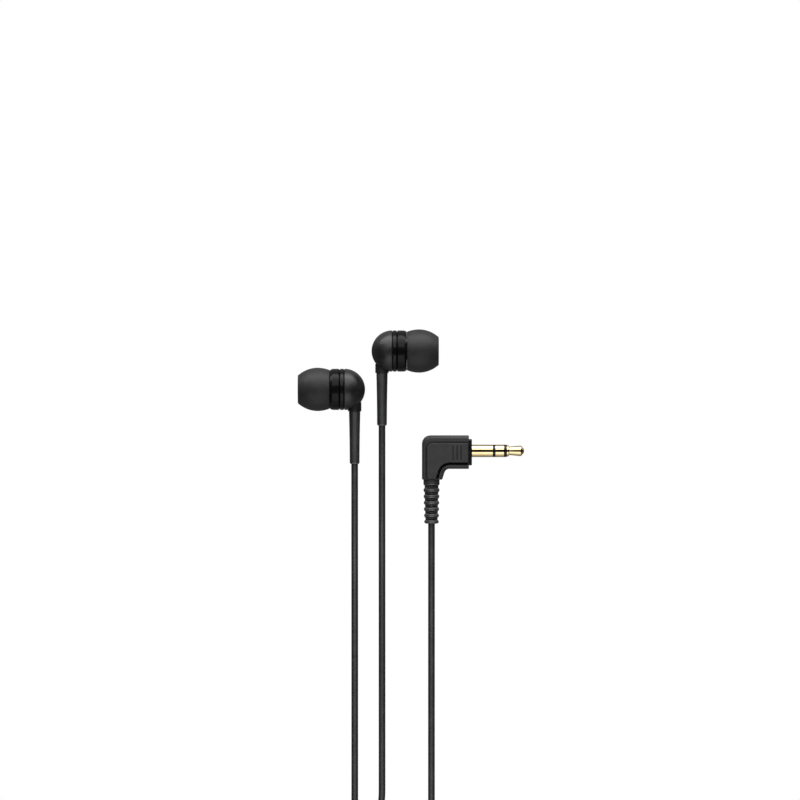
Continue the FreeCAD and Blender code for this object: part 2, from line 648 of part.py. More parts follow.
def plug_core():
    """The hard inner moulding round the jack's tail, with a collar that shows outside."""
    body = new_body("plug_core", *plug_place("plug_height"))
    block = outline(new_sketch(body, "XY"), core_outline("fit", "plug_right"))
    raise_pad(body, block, "core_thick - 2 * fit", midplane=True)
    collar = outline(new_sketch(body, "XY"), box_outline(
        "plug_right", "collar_low", "collar_right", "collar_top"))
    raise_pad(body, collar, "collar_thick", midplane=True)
    ease(body, "Fillet", "plug_edge", lambda edge: edge_at_x(edge, value("collar_right")))
    jack_hole = circle(new_sketch(body, "YZ", "jack_back"), "0", "0", "root_radius + fit")
    cut_pocket(body, jack_hole, "collar_right - jack_back", reverse=True)
    hollow = outline(new_sketch(body, "XY"), box_outline(
        "hollow_left", "core_low", "jack_back", "hollow_top"))
    cut_pocket(body, hollow, "hollow_tall", midplane=True)


def edge_at_x(edge, x):
    return abs(edge.BoundBox.XMin - x) < 1e-4 and abs(edge.BoundBox.XMax - x) < 1e-4


def jack():
    """The plug's contacts, one inside the other, kept apart by insulating tubes and rings."""
    place = (*plug_place("plug_height"), FreeCAD.Rotation(Vector(0, 1, 0), 90))
    turned("plug_sleeve", [
        ("sleeve_bore + fit", "jack_back"),
        ("root_radius", "jack_back"),
        ("root_radius", "collar_right"),
        ("jack_radius", "collar_right"),
        ("jack_radius", "sleeve_end"),
        ("sleeve_bore + fit", "sleeve_end")], *place)
    turned("plug_ring", [
        ("ring_bore", "ring_back"),
        ("ring_tube", "ring_back"),
        ("ring_tube", "first_ring_end"),
        ("jack_radius", "first_ring_end"),
        ("jack_radius", "ring_end"),
        ("ring_bore", "ring_end")], *place)
    turned("plug_tip", [
        ("0", "rod_back"),
        ("rod_radius", "rod_back"),
        ("rod_radius", "second_ring_end"),
        ("shoulder_radius", "second_ring_end"),
        ("shoulder_radius", "shoulder_end"),
        ("neck_radius", "neck_start"),
        ("neck_radius", "neck_end"),
        ("head_radius", "head_widest"),
        ("point_radius", "point_start"),
        ("point_end_radius", "jack_end"),
        ("0", "jack_end")], *place)
    insulators = [
        insulator("ring_tube + fit", "sleeve_bore", "sleeve_insulator_back", "sleeve_end",
                  "first_ring_end"),
        insulator("rod_radius + fit", "ring_bore - fit", "ring_insulator_back", "ring_end",
                  "second_ring_end")]
    add_shape("plug_insulators", Part.makeCompound(insulators), *place)


def insulator(inner, tube, back, front, end):
    """A thin tube from back to front, with a ring that shows outside from front to end."""
    inner, tube, back, front, end = [value(size) for size in (inner, tube, back, front, end)]
    sleeve = Part.makeCylinder(tube, front - back, Vector(0, 0, back))
    ring = Part.makeCylinder(value("jack_radius"), end - front, Vector(0, 0, front))
    bore = Part.makeCylinder(inner, end - back, Vector(0, 0, back))
    return sleeve.fuse(ring).cut(bore).removeSplitter().Solids[0]


# From the cord's end to the tip's rod, the ring's tube and the ground tab, from the plug's bend.
PLUG_WIRES = [[(-0.45, -7.3, 0), (-0.45, -3.85, 0), (2.1, -0.7, -0.1)],
              [(0, -7.3, 0), (0, -3.4, 0), (3.1, -1.3, 0.35)],
              [(0.45, -7.3, 0), (0.45, -2.95, 0), (0.6, -2.7, 0.8)]]


def plug_inside():
    """The ground tab and the wires in the hollow of the plug's core."""
    body = new_body("plug_ground_tab", *plug_place("plug_height"))
    sketch = outline(new_sketch(body, "XY", "tab_height"), box_outline(
        "tab_left", "tab_low", "tab_right", "tab_top"))
    raise_pad(body, sketch, "tab_thick")
    wires = [tube_shape([Vector(*point) for point in route], value("wire_diameter"))
             for route in PLUG_WIRES]
    add_shape("plug_wires", Part.makeCompound(wires), *plug_place("plug_height"))


def plug_strain_relief():
    """A soft tail with a collar and ribs. A narrow spine bridges the grooves front and back."""
    body = new_body("plug_strain_relief", *plug_place("plug_height"),
                    FreeCAD.Rotation(Vector(1, 0, 0), 90))
    corners = [("cord_hole", "spigot_start"), ("spigot_radius - fit", "spigot_start"),
               ("spigot_radius - fit", "relief_start"), ("relief_collar", "relief_start"),
               ("relief_collar", "relief_collar_end"),
               ("groove_first_radius", "relief_collar_end")]
    for i in range(RIBS):
        start = f"relief_first + {i} * relief_pitch"
        rib = f"rib_first_radius - {i} / {RIBS} * (rib_first_radius - rib_last_radius)"
        here = f"groove_first_radius - {i} / {RIBS} * (groove_first_radius - groove_last_radius)"
        corners += [(here, start), (rib, start), (rib, start + " + rib_long")]
        if i < RIBS - 1:
            corners.append((here, start + " + rib_long"))
    end = f"relief_first + {RIBS - 1} * relief_pitch + rib_long"
    corners[-1] = (corners[-1][0], end)
    corners.append(("cord_hole", end))
    spin(body, "Revolution", outline(new_sketch(body, "XZ"), corners))
    return body


def strain_relief_spine(body):
    """The spine: a thin slab across the tail, cut back to a cone that follows the ribs."""
    slab = outline(new_sketch(body, "XZ"), [
        ("-rib_last_radius", "relief_end - rib_long"),
        ("rib_last_radius", "relief_end - rib_long"),
        ("rib_first_radius", "relief_collar_end"),
        ("-rib_first_radius", "relief_collar_end")])
    raise_pad(body, slab, "spine_wide", midplane=True)
    hole = circle(new_sketch(body, "XY", "relief_end"), "0", "0", "cord_hole")
    cut_pocket(body, hole, "relief_end - spigot_start")


def plug():
    plug_body()
    plug_core()
    jack()
    plug_inside()
    strain_relief_spine(plug_strain_relief())


# ---- the whole object -----------------------------------------------------------------------

def check_and_write():
    doc.recompute()
    for obj in doc.Objects:
        if {"Invalid", "Error"} & set(obj.State):
            raise RuntimeError(f"{obj.Label} failed: {obj.State}")
    os.makedirs("parts", exist_ok=True)
    for label, piece in pieces.items():
        if piece.Shape.isNull() or not piece.Shape.isValid():
            raise RuntimeError(f"{label} has no valid shape")
        piece.Shape.exportStep(f"parts/{label}.step")
    print(len(pieces), "pieces written")


for side in SIDES:
    earpiece(side)
cord("left_cord", LEFT_ROUTE)
cord("right_cord", RIGHT_ROUTE)
cord("left_cord_tail", LEFT_TAIL)
cord("right_cord_tail", RIGHT_TAIL)
cord("main_cord", PLUG_ROUTE)
cord("main_cord_tail", TRUNK_TAIL)
coil("branch_coil", "branch_coil")
coil("main_coil", "main_coil")
tie("branch_tie", "branch_coil")
tie("main_tie", "main_coil")
splitter()
plug()
check_and_write()
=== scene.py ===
# Wired earphones lying flat, seen straight from above. The shapes, the cords' routes and the
# constants are in millimetres, unless MM or a comment makes them metres: cord_curve and
# finish_mesh turn them into metres, the unit of the scene.
import json
import math

import bmesh
import bpy
from mathutils import Matrix, Vector


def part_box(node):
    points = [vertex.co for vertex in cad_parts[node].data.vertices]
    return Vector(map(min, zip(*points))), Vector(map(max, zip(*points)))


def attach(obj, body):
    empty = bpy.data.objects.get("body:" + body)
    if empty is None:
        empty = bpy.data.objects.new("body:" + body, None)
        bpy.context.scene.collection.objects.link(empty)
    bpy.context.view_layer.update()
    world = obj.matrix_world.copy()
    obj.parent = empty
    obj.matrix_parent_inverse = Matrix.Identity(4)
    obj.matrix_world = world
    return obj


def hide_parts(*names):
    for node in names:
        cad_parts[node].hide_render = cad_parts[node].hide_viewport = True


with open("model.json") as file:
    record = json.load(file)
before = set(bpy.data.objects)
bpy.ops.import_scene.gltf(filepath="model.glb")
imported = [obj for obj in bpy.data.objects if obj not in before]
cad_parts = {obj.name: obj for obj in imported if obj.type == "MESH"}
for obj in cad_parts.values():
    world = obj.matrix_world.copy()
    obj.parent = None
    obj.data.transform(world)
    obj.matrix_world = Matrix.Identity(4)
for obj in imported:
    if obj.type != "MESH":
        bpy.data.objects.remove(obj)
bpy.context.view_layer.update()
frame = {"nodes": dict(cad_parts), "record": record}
MM = 0.001
SIDES = {"left": -1, "right": 1}
nodes = frame["nodes"]


def millimetres(node):
    """The lowest and highest corner of a CAD node, in millimetres."""
    low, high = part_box(node)
    return low / MM, high / MM


# ---- camera -----------------------------------------------------------------------------------

VIEW_WIDE = 225.35 * MM      # what the picture's width covers
VIEW_AT = Vector((8.92, -0.79, 5.0)) * MM
LENS, SENSOR = 300.0, 36.0
NEAR_CLIP = 0.05             # in metres


def add_camera():
    camera = bpy.data.objects.new("camera", bpy.data.cameras.new("camera"))
    bpy.context.scene.collection.objects.link(camera)
    camera.data.lens = LENS
    camera.data.sensor_width = SENSOR
    camera.data.clip_start = NEAR_CLIP
    camera.data.dof.use_dof = False
    camera.location = VIEW_AT + Vector((0, 0, VIEW_WIDE * LENS / SENSOR))
    bpy.context.scene.camera = camera


add_camera()

# ---- the cords' routes ------------------------------------------------------------------------

CORD = 1.9 * MM
LYING = 0.95                 # height of a cord's middle where it lies on the floor
EAR_UP, PLUG_UP, SPLIT_UP = 6.1, 3.5, 1.9     # and where it leaves these pieces
LEFT_X, RIGHT_X, PLUG_X, SPLIT_X = -3.85, 3.85, 17.8, -11.2   # the cords' straight runs
LEFT_IN, RIGHT_IN, TRUNK_OUT = -12.15, -10.2, 15.85           # where they meet their coils

# Routes, from the piece that holds each cord to its coil, and from the coil onwards.
LEFT_ROUTE = [(LEFT_X, 1.2, EAR_UP), (LEFT_X, -30, EAR_UP), (LEFT_X, -61, LYING),
              (LEFT_X, -106, LYING), (LEFT_X, -121, LYING), (LEFT_IN, -134, 1.1),
              (LEFT_IN, -146, 1.5)]
RIGHT_ROUTE = [(RIGHT_X, 12, EAR_UP), (RIGHT_X, -21, EAR_UP), (RIGHT_X, -55, LYING),
               (RIGHT_X, -101.5, LYING), (RIGHT_X, -121, LYING), (RIGHT_IN, -135, 1.1),
               (RIGHT_IN, -146, 1.5)]
LEFT_TAIL = [(LEFT_IN, -146, 5.4), (LEFT_IN, -154, 5.35), (LEFT_IN, -163, SPLIT_UP),
             (LEFT_IN, -171, SPLIT_UP)]
RIGHT_TAIL = [(RIGHT_IN, -146, 5.4), (RIGHT_IN, -154, 5.35), (RIGHT_IN, -163, SPLIT_UP),
              (RIGHT_IN, -171, SPLIT_UP)]
PLUG_ROUTE = [(PLUG_X, -22.5, PLUG_UP), (PLUG_X, -46, PLUG_UP), (PLUG_X, -73, LYING),
              (PLUG_X, -113, LYING), (PLUG_X, -124, LYING), (PLUG_X, -135, 1.5)]
TRUNK_TAIL = [(TRUNK_OUT, -135, 5.5), (TRUNK_OUT, -147, 3.4), (16.2, -162, LYING),
              (16.9, -180, LYING), (16.9, -198, LYING), (8.7, -206.2, LYING), (-3, -206.2, 1.3),
              (SPLIT_X, -198, SPLIT_UP), (SPLIT_X, -186, SPLIT_UP)]

# The coils: their centres, the radii of their turns, and the angles between which a turn
# climbs or moves inwards, in degrees of that turn.
TURN_POINTS = 16             # control points in each turn
PITCH = 1.95                 # between neighbouring turns
FIRST_LAYER = 1.5            # height of the lowest turns
BRANCH_CENTRE, TRUNK_CENTRE = (0.2, -146.0), (29.55, -135.0)
LEFT_TURNS, RIGHT_TURNS, TRUNK_TURNS = 12.35, 10.4, 11.75
BRANCH_LAYERS, TRUNK_LAYERS, TRUNK_RINGS = 3, 4, 3
BRANCH_CLIMB, TRUNK_CLIMB = (230, 320), (290, 355)
TRUNK_BOW, TRUNK_TOP = 0.6, 5.5       # how far climbing turns bow aside, how high the last ends


def ease(x):
    """From 0 to 1, level at both ends."""
    x = min(max(x, 0.0), 1.0)
    return x * x * (3 - 2 * x)


def coil_points(centre, stops, climb):
    """The control points of a coil's turns, followed anticlockwise between its leftmost points,
    which belong to the routes. Each turn keeps one stop's radius and height, and moves to the
    next stop's between two angles of the turn. A turn that climbs bows aside by the stop's
    third number."""
    climb_from, climb_to = climb
    points = []
    for (radius, height, bow), (next_radius, next_height, _) in zip(stops, stops[1:]):
        for i in range(1, TURN_POINTS + 1):
            turned = i / TURN_POINTS
            share = (turned * 360 - climb_from) / (climb_to - climb_from)
            moved = ease(share)
            aside = bow * math.sin(math.pi * moved)
            here = radius + (next_radius - radius) * moved + aside
            here /= math.cos(math.pi / TURN_POINTS)
            angle = math.pi + 2 * math.pi * turned
            points.append((centre[0] + here * math.cos(angle), centre[1] + here * math.sin(angle),
                           height + (next_height - height) * moved))
    return points[:-1]


def branch_stops(radius):
    """Turns of one radius, each on the one before it."""
    return [(radius, FIRST_LAYER + PITCH * layer, 0) for layer in range(BRANCH_LAYERS)]


def trunk_stops():
    """Layers of turns beside each other, wound inwards and outwards by turns."""
    stops = []
    for layer in range(TRUNK_LAYERS):
        rings = [TRUNK_TURNS - PITCH * ring for ring in range(TRUNK_RINGS)]
        if layer % 2:
            rings.reverse()
        aside = TRUNK_BOW if layer % 2 else -TRUNK_BOW
        for ring, radius in enumerate(rings):
            climbs = ring == TRUNK_RINGS - 1 and layer < TRUNK_LAYERS - 1
            stops.append((radius, FIRST_LAYER + PITCH * layer, aside if climbs else 0))
    stops.append((TRUNK_TURNS + PITCH, TRUNK_TOP, 0))
    return stops


def cord_curve(name, points):
    """A round cord along one smooth spline with these control points."""
    data = bpy.data.curves.new(name, "CURVE")
    data.dimensions = "3D"
    data.bevel_depth = CORD / 2
    data.bevel_resolution = 7
    data.resolution_u = 10
    data.use_fill_caps = True
    spline = data.splines.new("NURBS")
    spline.points.add(len(points) - 1)
    for control, point in zip(spline.points, points):
        control.co = (*(Vector(point) * MM), 1)
    spline.order_u = 3
    spline.use_endpoint_u = True
    spline.use_smooth = True
    cord = bpy.data.objects.new(name, data)
    bpy.context.scene.collection.objects.link(cord)
    data.materials.append(MATERIALS["cord"])
    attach(cord, "root")
    return cord


# ---- mesh tools -------------------------------------------------------------------------------

ARC_STEPS, ROUND_STEPS = 14, 4         # runs along an arc and round a rounded corner
LONG_RUN, HOLD_AT = 0.8, 0.08          # what held() calls long, and how near its points are
AT_MOST = 0.96                         # of a side may be taken off by the rounding of one end
SAME_POINT, ON_AXIS = 1e-5, 1e-6
AROUND, FINE_AROUND, FINEST_AROUND = 96, 128, 192     # sides of turned pieces

# Degrees between two faces from which their edge isn't smoothed.
SHARP, SHARP_JOINED, SHARP_PLUG, SHARP_SPLITTER = 40, 35, 30, 55


def side_points(a, b, radius, inward):
    """From a to b, both left in: straight, or an arc that bows to the right of its travel."""
    a, b = Vector(a[:2]), Vector(b[:2])
    if not radius:
        return [a, b]
    chord = b - a
    sag = radius - math.sqrt(radius ** 2 - (chord.length / 2) ** 2)
    right = Vector((chord.y, -chord.x)).normalized() * (-1 if inward else 1)
    centre = (a + b) / 2 + right * (sag - radius)
    start, sweep = a - centre, (a - centre).angle_signed(b - centre)
    turned = []
    for i in range(ARC_STEPS + 1):
        turned.append(centre + Matrix.Rotation(-sweep * i / ARC_STEPS, 2) @ start)
    return turned


def trimmed(points, amount):
    """The polyline with a length taken off its start."""
    while len(points) > 2 and (points[1] - points[0]).length <= amount:
        amount -= (points[1] - points[0]).length
        points = points[1:]
    run = points[1] - points[0]
    return [points[0] + run * min(amount / run.length, AT_MOST)] + points[1:]


def evened(points, count):
    """The same line with its points evenly spaced, and count runs between them."""
    lengths = [(b - a).length for a, b in zip(points, points[1:])]
    step = sum(lengths) / count
    spaced, gone = [points[0]], 0.0
    for a, b, length in zip(points, points[1:], lengths):
        while len(spaced) < count and len(spaced) * step <= gone + length:
            spaced.append(a + (b - a) * ((len(spaced) * step - gone) / length))
        gone += length
    return spaced + [points[-1]]


def rounded_corner(before, corner, after):
    """A circular arc from before to after, whose tangents there meet in the corner."""
    a, b = (before - corner), (after - corner)
    weight = math.sin(a.angle(b) / 2)
    arc = []
    for i in range(ROUND_STEPS + 1):
        t = i / ROUND_STEPS
        parts = ((1 - t) ** 2, 2 * weight * t * (1 - t), t ** 2)
        arc.append((before * parts[0] + corner * parts[1] + after * parts[2]) / sum(parts))
    return arc


def outline(corners, closed=True):
    """A 2D outline. A corner is x, y, how far its rounding reaches along each side and, where
    the side after it is an arc, the arc's radius and whether it bows inward."""
    count = len(corners)
    sides = []
    for i in range(count if closed else count - 1):
        here, there = corners[i], corners[(i + 1) % count]
        radius, inward = (here[3], here[4]) if len(here) > 3 else (0, False)
        side = trimmed(side_points(here, there, radius, inward), here[2])
        side = trimmed(side[::-1], there[2])[::-1]
        sides.append(evened(side, ARC_STEPS) if radius else side)
    points = []
    for i, side in enumerate(sides):
        if corners[i][2] and (closed or i):
            points += rounded_corner(sides[i - 1][-1], Vector(corners[i][:2]), side[0])[:-1]
        points += side[:-1] if closed or i < len(sides) - 1 else side
        if closed and corners[(i + 1) % count][2]:
            points.append(side[-1])
    kept = []
    for point in points:
        if not kept or (point - kept[-1]).length > SAME_POINT:
            kept.append(point)
    return kept


def finish_mesh(name, mesh, place, material, sharp=SHARP):
    """The bmesh made into an object, in metres and in the frame."""
    bmesh.ops.remove_doubles(mesh, verts=mesh.verts, dist=SAME_POINT)
    bmesh.ops.recalc_face_normals(mesh, faces=mesh.faces)
    data = bpy.data.meshes.new(name)
    mesh.to_mesh(data)
    mesh.free()
    data.transform(Matrix.Scale(MM, 4) @ place)
    data.shade_smooth()
    data.set_sharp_from_angle(angle=math.radians(sharp))
    data.materials.append(material)
    piece = bpy.data.objects.new(name, data)
    bpy.context.scene.collection.objects.link(piece)
    return piece


def held(profile, closed):
    """The profile with a point close to each end of its long runs, so that a straight run next
    to a rounding isn't shaded as if it bulged."""
    points = []
    for i, here in enumerate(profile):
        points.append(here)
        run = profile[(i + 1) % len(profile)] - here
        if run.length > LONG_RUN and (closed or i < len(profile) - 1):
            step = run.normalized() * HOLD_AT
            points += [here + step, here + run - step]
    return points


def lathe(name, profile, place, material, closed=True, segments=AROUND, flatten=None):
    """A profile of radius and distance along, turned about the local Z axis. Where flatten is
    given, it says how deep the piece is along local Y for each radius and distance."""
    mesh = bmesh.new()
    rings = []
    for radius, along in held(profile, closed):
        if radius < ON_AXIS:
            rings.append([mesh.verts.new((0, 0, along))] * segments)
            continue
        ring = []
        deep = flatten(radius, along) if flatten else radius
        for i in range(segments):
            angle = 2 * math.pi * i / segments
            ring.append(mesh.verts.new((radius * math.cos(angle), deep * math.sin(angle), along)))
        rings.append(ring)
    pairs = list(zip(rings, rings[1:]))
    if closed:
        pairs.append((rings[-1], rings[0]))
    for low, high in pairs:
        for i in range(segments):
            j = (i + 1) % segments
            corners = list(dict.fromkeys((low[i], low[j], high[j], high[i])))
            if len(corners) > 2:
                mesh.faces.new(corners)
    return finish_mesh(name, mesh, place, material)


def stack(name, layers, place, material, sharp=SHARP, lift=None):
    """Outlines with the same number of points, one above another, closed at both ends. Where
    lift is given, it turns a layer's height and a point of its outline into the point's height."""
    mesh = bmesh.new()
    rings = []
    for height, points in layers:
        ring = []
        for point in points:
            up = lift(height, point) if lift else height
            ring.append(mesh.verts.new((point.x, point.y, up)))
        rings.append(ring)
    count = len(rings[0])
    for low, high in zip(rings, rings[1:]):
        for i in range(count):
            j = (i + 1) % count
            mesh.faces.new((low[i], low[j], high[j], high[i]))
    for ring in (rings[0], rings[-1]):
        face = mesh.faces.new(ring)
        bmesh.ops.triangulate(mesh, faces=[face])
    return finish_mesh(name, mesh, place, material, sharp)


def combine(piece, other, operation):
    """A boolean of two pieces, kept in the first. The second is removed."""
    modifier = piece.modifiers.new("join", "BOOLEAN")
    modifier.operation = operation
    modifier.solver = "EXACT"
    modifier.object = other
    bpy.context.view_layer.update()
    graph = bpy.context.evaluated_depsgraph_get()
    data = bpy.data.meshes.new_from_object(piece.evaluated_get(graph))
    piece.modifiers.clear()
    piece.data = data
    bpy.data.objects.remove(other)
    data.shade_smooth()
    data.set_sharp_from_angle(angle=math.radians(SHARP_JOINED))
    return piece


def axis_place(origin, along, across):
    """A place with local Z along one direction and local Y along another."""
    along, across = Vector(along), Vector(across)
    turn = Matrix((across.cross(along), across, along)).transposed()
    return Matrix.Translation(origin) @ turn.to_4x4()


# ---- materials --------------------------------------------------------------------------------

PATCH = 2.5                            # size of the soft patches of colour
PATCH_DETAIL, GRAIN_DETAIL = 4.0, 2.0
NOISE_LOW, NOISE_HIGH = 0.3, 0.7       # between these a noise turns from one end to the other
SHUT, OPEN = 0.35, 0.85                # openness at which a groove's painted shade is deepest, and where it has faded out
SHEEN_ROUGH = 0.4
FACTOR, COLOR_A, COLOR_B, MIXED = 0, 6, 7, 2     # sockets of a Mix node that mixes colours


def node_tree(name):
    material = bpy.data.materials.new(name)
    material.use_nodes = True
    return material, material.node_tree, material.node_tree.nodes["Principled BSDF"]


def add_node(tree, kind, **settings):
    """A new node, with these values on its sockets or in its settings."""
    node = tree.nodes.new(kind)
    for key, value in settings.items():
        if key in node.inputs:
            node.inputs[key].default_value = value
        else:
            setattr(node, key, value)
    return node


def noise(tree, size, detail):
    """A noise whose features are about that size, fixed to the piece."""
    place = tree.nodes.new("ShaderNodeTexCoord")
    mapping = tree.nodes.new("ShaderNodeMapping")
    mapping.inputs["Scale"].default_value = [1 / (size * MM)] * 3
    tree.links.new(place.outputs["Object"], mapping.inputs["Vector"])
    texture = add_node(tree, "ShaderNodeTexNoise", Scale=1.0, Detail=detail)
    tree.links.new(mapping.outputs["Vector"], texture.inputs["Vector"])
    return texture.outputs["Fac"]


def ranged(tree, source, low, high, from_low=NOISE_LOW, from_high=NOISE_HIGH):
    """The source mapped from its range to the one from low to high, and held there."""
    node = add_node(tree, "ShaderNodeMapRange")
    node.inputs["From Min"].default_value = from_low
    node.inputs["From Max"].default_value = from_high
    node.inputs["To Min"].default_value = low
    node.inputs["To Max"].default_value = high
    tree.links.new(source, node.inputs["Value"])
    return node.outputs["Result"]


def tinted(tree, source, dark, light):
    ramp = tree.nodes.new("ShaderNodeValToRGB")
    first, last = ramp.color_ramp.elements
    first.position, last.position = NOISE_LOW, NOISE_HIGH
    first.color, last.color = (*dark, 1), (*light, 1)
    tree.links.new(source, ramp.inputs["Fac"])
    return ramp.outputs["Color"]


def painted_groove_shade(tree, color, specular, shader, reach):
    """Painted shade in narrow grooves: less colour and less shine where little of the sky is seen.
    """
    openness = add_node(tree, "ShaderNodeAmbientOcclusion", only_local=True, samples=8,
                        Distance=reach * MM)
    share = ranged(tree, openness.outputs["AO"], 0.0, 1.0, SHUT, OPEN)
    mix = add_node(tree, "ShaderNodeMix", data_type="RGBA", blend_type="MULTIPLY")
    mix.inputs[FACTOR].default_value = 1.0
    tree.links.new(color, mix.inputs[COLOR_A])
    tree.links.new(share, mix.inputs[COLOR_B])
    tree.links.new(mix.outputs[MIXED], shader.inputs["Base Color"])
    tree.links.new(ranged(tree, share, 0.0, specular, 0.0, 1.0),
                   shader.inputs["Specular IOR Level"])


def surface(name, dark, light, rough, grain, bumps, metal=0.0, specular=0.5, sheen=0.0,
            index=1.5, groove=0.0):
    """A moulded, cast or drawn material: two close colours in soft patches, a roughness that
    varies with them between two limits, and a fine grain of a given size, with bumps of a given
    height. Groove is how wide the grooves are that get painted shade, in colour and in shine."""
    material, tree, shader = node_tree(name)
    patches = noise(tree, PATCH, PATCH_DETAIL)
    grains = noise(tree, grain, GRAIN_DETAIL)
    color = tinted(tree, patches, dark, light)
    tree.links.new(color, shader.inputs["Base Color"])
    tree.links.new(ranged(tree, patches, rough[0], rough[1]), shader.inputs["Roughness"])
    bump = add_node(tree, "ShaderNodeBump", Strength=1.0, Distance=bumps * MM)
    tree.links.new(grains, bump.inputs["Height"])
    tree.links.new(bump.outputs["Normal"], shader.inputs["Normal"])
    shader.inputs["Metallic"].default_value = metal
    shader.inputs["Specular IOR Level"].default_value = specular
    shader.inputs["IOR"].default_value = index
    # Painted shade: the grooves darkened in colour and shine by how little of the sky they see.
    if groove:
        painted_groove_shade(tree, color, specular, shader, groove)
    if sheen:
        shader.inputs["Sheen Weight"].default_value = sheen
        shader.inputs["Sheen Roughness"].default_value = SHEEN_ROUGH
    return material


def grey(value):
    """A black or grey that leans a little to blue."""
    return (value, value, value * 1.02)


MATERIALS = {
    "housing": surface("housing", grey(0.013), grey(0.02), (0.3, 0.4), 0.14, 0.016),
    "housing_gloss": surface("housing_gloss", grey(0.003), grey(0.005), (0.2, 0.27), 0.3, 0.003,
                             specular=0.2),
    "trim": surface("trim", grey(0.003), grey(0.005), (0.2, 0.27), 0.3, 0.003, specular=0.15),
    "silicone": surface("silicone", grey(0.018), grey(0.024), (0.48, 0.56), 0.09, 0.012,
                        specular=0.35),
    "boot": surface("boot", grey(0.008), grey(0.012), (0.4, 0.46), 0.1, 0.004, specular=1.0,
                    index=1.8),
    "cord": surface("cord", grey(0.008), grey(0.012), (0.4, 0.46), 0.12, 0.004, specular=1.0,
                    index=1.7),
    # The plug's two rubbers get painted shade in their grooves and slots.
    "plug_rubber": surface("plug_rubber", grey(0.047), grey(0.056), (0.42, 0.5), 0.08, 0.006,
                           specular=0.25, groove=1.2),
    "relief_rubber": surface("relief_rubber", grey(0.045), grey(0.055), (0.34, 0.42), 0.08, 0.006,
                             specular=1.0, index=1.65, groove=0.8),
    "moulding": surface("moulding", grey(0.004), grey(0.006), (0.3, 0.4), 0.15, 0.003,
                        specular=0.3),
    "insulator": surface("insulator", grey(0.003), grey(0.005), (0.25, 0.3), 0.2, 0.002,
                         specular=0.3),
    "gold": surface("gold", (0.9, 0.7, 0.36), (0.97, 0.78, 0.45), (0.04, 0.07), 0.05, 0.0001,
                    metal=1.0),
    "steel": surface("steel", (0.42, 0.42, 0.43), (0.52, 0.52, 0.53), (0.28, 0.38), 0.08, 0.002,
                     metal=1.0),
    "steel_mesh": surface("steel_mesh", (0.4, 0.4, 0.41), (0.55, 0.55, 0.56), (0.25, 0.35), 0.05,
                          0.001, metal=1.0),
    "magnet": surface("magnet", (0.3, 0.3, 0.32), (0.4, 0.4, 0.42), (0.2, 0.3), 0.1, 0.002,
                      metal=1.0),
    "copper": surface("copper", (0.75, 0.3, 0.14), (0.85, 0.4, 0.2), (0.2, 0.3), 0.06, 0.001,
                      metal=1.0),
    "brass": surface("brass", (0.6, 0.42, 0.16), (0.7, 0.5, 0.2), (0.25, 0.35), 0.08, 0.001,
                     metal=1.0),
    "film": surface("film", (0.5, 0.46, 0.38), (0.6, 0.55, 0.46), (0.25, 0.35), 0.2, 0.002),
    "felt": surface("felt", (0.45, 0.43, 0.4), (0.62, 0.6, 0.55), (0.85, 0.95), 0.06, 0.02,
                    specular=0.2),
    "board": surface("board", (0.01, 0.12, 0.05), (0.015, 0.16, 0.07), (0.3, 0.4), 0.1, 0.002),
    "tie": surface("tie", grey(0.012), grey(0.02), (0.75, 0.9), 0.12, 0.03, specular=0.3,
                   sheen=0.3),
}

slot_of = {part["node"]: part["material_slot"] for part in frame["record"]["subparts"]}
for node, piece in nodes.items():
    piece.data.materials.clear()
    piece.data.materials.append(MATERIALS[slot_of[node]])


# ---- the cords on their routes ----------------------------------------------------------------

left_coil = coil_points(BRANCH_CENTRE, branch_stops(LEFT_TURNS), BRANCH_CLIMB)
right_coil = coil_points(BRANCH_CENTRE, branch_stops(RIGHT_TURNS), BRANCH_CLIMB)
trunk_coil = coil_points(TRUNK_CENTRE, trunk_stops(), TRUNK_CLIMB)
left_lead = cord_curve("left_lead", LEFT_ROUTE + left_coil + LEFT_TAIL)
right_lead = cord_curve("right_lead", RIGHT_ROUTE + right_coil + RIGHT_TAIL)
trunk = cord_curve("trunk_lead", (PLUG_ROUTE + trunk_coil + TRUNK_TAIL)[::-1])
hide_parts("left_cord", "left_cord_tail", "branch_coil")
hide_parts("right_cord", "right_cord_tail")
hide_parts("main_cord", "main_cord_tail", "main_coil")


# ---- earpieces --------------------------------------------------------------------------------

# Radii, and distances along the nozzle's axis from the dome's centre or, for the boss and the
# boot, down the cord from that height.
DOME, WALL = 5.83, 0.85                # the rear shell
RIM_AT = -0.13                         # the dome's front edge
FRONT_SHELL, GROOVE = 5.8, 5.5         # outer radius of the front shell, and in its grooves
NOZZLE, BARB, NOZZLE_HOLE = 2.55, 2.7, 2.05
NOZZLE_END, TIP_FRONT = 9.6, 13.1
TIP_HOLE, TIP_OPENING, TIP_CORE = 2.75, 2.1, 3.4
BOSS, BOSS_HOLE, BOSS_END = 1.9, 1.25, 6.2
CORD_HOLE = 0.98                       # what a boot or strain relief leaves for its cord
BOOT_CURVE = 600.0                     # radius of the boot's slightly hollow side


def ear_frame(side):
    """The dome's centre, from the ear tip's box, with local Z along the nozzle."""
    low, high = millimetres(f"{side}_ear_tip")
    outward = SIDES[side]
    front = high.x if outward > 0 else low.x
    centre = Vector((front - outward * TIP_FRONT, (low.y + high.y) / 2, (low.z + high.z) / 2))
    return centre, axis_place(centre, (outward, 0, 0), (0, 1, 0))


def stem_frame(side):
    """On the cord's axis at the height of the nozzle's axis, with local Z down the cord."""
    centre, _ = ear_frame(side)
    low, high = millimetres(f"{side}_boot")
    return axis_place(Vector(((low.x + high.x) / 2, centre.y, (low.z + high.z) / 2)),
                      (0, -1, 0), (0, 0, 1))


def stand_for(piece, node, body="root"):
    """The piece shown in place of a CAD node, on its body."""
    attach(piece, body)
    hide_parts(node)
    return piece


